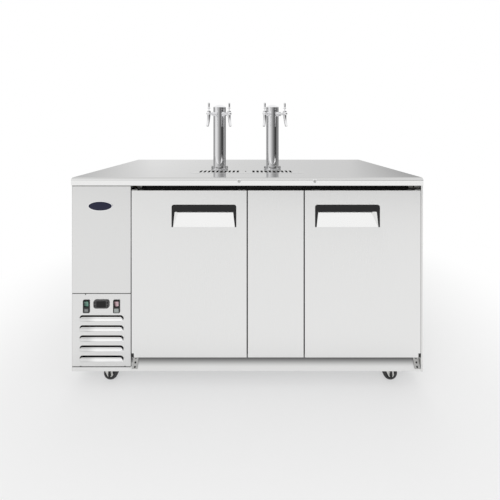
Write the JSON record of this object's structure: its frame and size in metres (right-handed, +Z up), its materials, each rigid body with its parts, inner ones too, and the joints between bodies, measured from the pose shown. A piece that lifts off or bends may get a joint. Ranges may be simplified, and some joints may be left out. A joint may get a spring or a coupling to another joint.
{
  "type": "draft beer cooler",
  "caption": "Stainless direct-draw keg cooler on casters: hinged doors with pocket grips, side refrigeration compartment, column towers with tap levers, drip tray.",
  "frame": {"origin": "on the floor under the middle of the cabinet", "axes": "+Z up, doors face -Y, +X to the right seen from the front"},
  "size_m": [1.727, 0.717, 1.42],
  "materials": {
    "stainless": "fine brushed stainless",
    "polished_steel": "polished",
    "galvanised": "dull galvanised sheet",
    "zinc": "bright zinc plate",
    "black_plastic": "moulded",
    "grey_plastic": "moulded",
    "white_liner": "smooth moulded",
    "foam": "foamed in place",
    "gasket": "matte",
    "wheel_rubber": "matte",
    "enamel_black": "semi-gloss",
    "switch_green": "gloss",
    "switch_red": "gloss"
  },
  "bodies": {
    "cabinet": {"worktop": "stainless", "drip_tray_pan": "stainless", "foam_body": "foam", "inner_liner": "white_liner", "face_frame": "black_plastic", "left_side_panel": "stainless", "right_side_panel": "stainless", "back_panel": "galvanised", "base_pan": "galvanised", "front_sill": "stainless", "centre_panel": "stainless", "upper_front_panel": "stainless", "louvre_panel": "stainless", "temperature_controller": "grey_plastic", "switch_bezel_left": "black_plastic", "switch_bezel_right": "black_plastic", "hinge_lower_left": "zinc", "hinge_lower_right": "zinc", "hinge_upper_left": "zinc", "hinge_upper_right": "zinc", "tower_column_left": "polished_steel", "tower_column_right": "polished_steel", "tower_cap_left": "polished_steel", "tower_cap_right": "polished_steel", "faucet_left_outer": "polished_steel", "faucet_left_inner": "polished_steel", "faucet_right_inner": "polished_steel", "faucet_right_outer": "polished_steel", "condenser_coil": "galvanised", "fan_shroud": "enamel_black", "compressor": "enamel_black", "rear_grille": "galvanised", "evaporator_cover": "white_liner"},
    "left_door": {"door_skin_left": "stainless", "door_inner_pan_left": "white_liner", "door_grip_left": "black_plastic", "door_gasket_left": "gasket"},
    "right_door": {"door_skin_right": "stainless", "door_inner_pan_right": "white_liner", "door_grip_right": "black_plastic", "door_gasket_right": "gasket"},
    "drip_grille": {"drip_tray_grille": "stainless"},
    "left_lock": {"lock_plug_left": "zinc"},
    "right_lock": {"lock_plug_right": "zinc"},
    "left_rocker": {"switch_rocker_left": "switch_green"},
    "right_rocker": {"switch_rocker_right": "switch_red"},
    "lever_left_outer": {"tap_lever_left_outer": "polished_steel"},
    "lever_left_inner": {"tap_lever_left_inner": "polished_steel"},
    "lever_right_inner": {"tap_lever_right_inner": "polished_steel"},
    "lever_right_outer": {"tap_lever_right_outer": "polished_steel"},
    "condenser_fan_body": {"condenser_fan": "galvanised"},
    "evaporator_fan_body": {"evaporator_fan": "galvanised"},
    "fork_front_left": {"caster_fork_front_left": "zinc"},
    "fork_front_right": {"caster_fork_front_right": "zinc"},
    "fork_rear_left": {"caster_fork_rear_left": "zinc"},
    "fork_rear_right": {"caster_fork_rear_right": "zinc"},
    "wheel_front_left": {"caster_wheel_front_left": "wheel_rubber"},
    "wheel_front_right": {"caster_wheel_front_right": "wheel_rubber"},
    "wheel_rear_left": {"caster_wheel_rear_left": "wheel_rubber"},
    "wheel_rear_right": {"caster_wheel_rear_right": "wheel_rubber"}
  },
  "joints": [
    {"name": "left_door_hinge", "type": "hinge", "parent": "cabinet", "child": "left_door", "pos_m": [-0.554, -0.347, 0.557], "axis": [0, 0, -1], "range_deg": [0, 110]},
    {"name": "right_door_hinge", "type": "hinge", "parent": "cabinet", "child": "right_door", "pos_m": [0.838, -0.347, 0.557], "axis": [0, 0, 1], "range_deg": [0, 110]},
    {"name": "drip_grille_lift", "type": "slide", "parent": "cabinet", "child": "drip_grille", "axis": [0, 0, 1], "range_m": [0, 0.05]},
    {"name": "left_lock_turn", "type": "hinge", "parent": "cabinet", "child": "left_lock", "pos_m": [-0.04, -0.34, 1.013], "axis": [0, 1, 0], "range_deg": [0, 90]},
    {"name": "right_lock_turn", "type": "hinge", "parent": "cabinet", "child": "right_lock", "pos_m": [0.331, -0.34, 1.013], "axis": [0, 1, 0], "range_deg": [0, 90]},
    {"name": "left_rocker_tilt", "type": "hinge", "parent": "cabinet", "child": "left_rocker", "pos_m": [-0.7918, -0.3483, 0.41], "axis": [-1, 0, 0], "range_deg": [0, 20]},
    {"name": "right_rocker_tilt", "type": "hinge", "parent": "cabinet", "child": "right_rocker", "pos_m": [-0.6432, -0.3483, 0.41], "axis": [-1, 0, 0], "range_deg": [0, 20]},
    {"name": "lever_left_outer_pull", "type": "hinge", "parent": "cabinet", "child": "lever_left_outer", "pos_m": [-0.22, -0.1716, 1.371], "axis": [0.866, -0.5, 0], "range_deg": [0, 28]},
    {"name": "lever_left_inner_pull", "type": "hinge", "parent": "cabinet", "child": "lever_left_inner", "pos_m": [-0.10572, -0.1616, 1.371], "axis": [0.766, 0.6428, 0], "range_deg": [0, 28]},
    {"name": "lever_right_inner_pull", "type": "hinge", "parent": "cabinet", "child": "lever_right_inner", "pos_m": [0.097, -0.1716, 1.371], "axis": [0.866, -0.5, 0], "range_deg": [0, 28]},
    {"name": "lever_right_outer_pull", "type": "hinge", "parent": "cabinet", "child": "lever_right_outer", "pos_m": [0.21128, -0.1616, 1.371], "axis": [0.766, 0.6428, 0], "range_deg": [0, 28]},
    {"name": "condenser_fan_spin", "type": "hinge", "parent": "cabinet", "child": "condenser_fan_body", "pos_m": [-0.71785, -0.2727, 0.245], "axis": [0, 1, 0], "continuous": true},
    {"name": "evaporator_fan_spin", "type": "hinge", "parent": "cabinet", "child": "evaporator_fan_body", "pos_m": [-0.4506, 0.0046, 0.8279], "axis": [1, 0, 0], "continuous": true},
    {"name": "swivel_front_left", "type": "hinge", "parent": "cabinet", "child": "fork_front_left", "pos_m": [-0.708, -0.309, 0.09], "axis": [0, 0, 1], "continuous": true},
    {"name": "swivel_front_right", "type": "hinge", "parent": "cabinet", "child": "fork_front_right", "pos_m": [0.708, -0.309, 0.09], "axis": [0, 0, 1], "continuous": true},
    {"name": "swivel_rear_left", "type": "hinge", "parent": "cabinet", "child": "fork_rear_left", "pos_m": [-0.708, 0.297, 0.09], "axis": [0, 0, 1], "continuous": true},
    {"name": "swivel_rear_right", "type": "hinge", "parent": "cabinet", "child": "fork_rear_right", "pos_m": [0.708, 0.297, 0.09], "axis": [0, 0, 1], "continuous": true},
    {"name": "roll_front_left", "type": "hinge", "parent": "fork_front_left", "child": "wheel_front_left", "pos_m": [-0.692, -0.309, 0.035], "axis": [0, 1, 0], "continuous": true},
    {"name": "roll_front_right", "type": "hinge", "parent": "fork_front_right", "child": "wheel_front_right", "pos_m": [0.724, -0.309, 0.035], "axis": [0, 1, 0], "continuous": true},
    {"name": "roll_rear_left", "type": "hinge", "parent": "fork_rear_left", "child": "wheel_rear_left", "pos_m": [-0.692, 0.297, 0.035], "axis": [0, 1, 0], "continuous": true},
    {"name": "roll_rear_right", "type": "hinge", "parent": "fork_rear_right", "child": "wheel_rear_right", "pos_m": [0.724, 0.297, 0.035], "axis": [0, 1, 0], "continuous": true}
  ]
}
